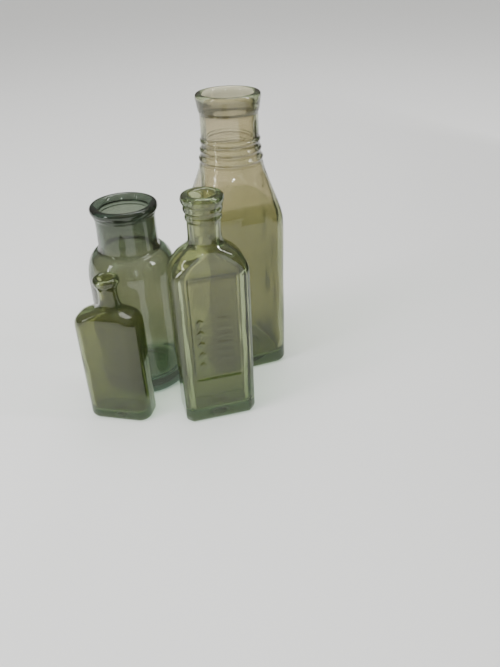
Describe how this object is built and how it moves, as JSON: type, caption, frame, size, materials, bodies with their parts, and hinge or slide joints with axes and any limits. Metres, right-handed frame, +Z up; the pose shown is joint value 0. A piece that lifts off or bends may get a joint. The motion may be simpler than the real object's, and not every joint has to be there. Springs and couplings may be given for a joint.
{
  "type": "antique glass bottle group",
  "caption": "Antique mould-blown glass bottles in a close group: a tall square one, a round jar, a panelled one and a small flat one, each with an applied lip.",
  "frame": {"origin": "centre of the group's footprint, on the surface the bottles stand on", "axes": "+Z up; +Y from the small bottles at the front towards the tall one at the back; +X to the right"},
  "size_m": [0.1646, 0.1466, 0.2329],
  "materials": {
    "glass_clear_olive": "old hand-blown glass, faint olive tint, wavy surface",
    "glass_teal": "old hand-blown glass, sea-green tint, thick lip and base",
    "glass_olive": "old hand-blown glass, olive-green tint, seed bubbles",
    "glass_moss": "old hand-blown glass, moss-green tint"
  },
  "bodies": {
    "tall_bottle": {"tall_bottle_body": "glass_clear_olive", "tall_bottle_lip": "glass_clear_olive"},
    "jar": {"jar_body": "glass_teal", "jar_lip": "glass_teal"},
    "panel_bottle": {"panel_bottle_body": "glass_olive", "panel_bottle_lip": "glass_olive"},
    "small_bottle": {"small_bottle_body": "glass_moss", "small_bottle_lip": "glass_moss"}
  },
  "joints": [
    {"name": "jar_lift", "type": "slide", "parent": "tall_bottle", "child": "jar", "axis": [0, 0, 1], "range_m": [0, 0.25]},
    {"name": "panel_bottle_lift", "type": "slide", "parent": "tall_bottle", "child": "panel_bottle", "axis": [0, 0, 1], "range_m": [0, 0.25]},
    {"name": "small_bottle_lift", "type": "slide", "parent": "tall_bottle", "child": "small_bottle", "axis": [0, 0, 1], "range_m": [0, 0.25]}
  ]
}
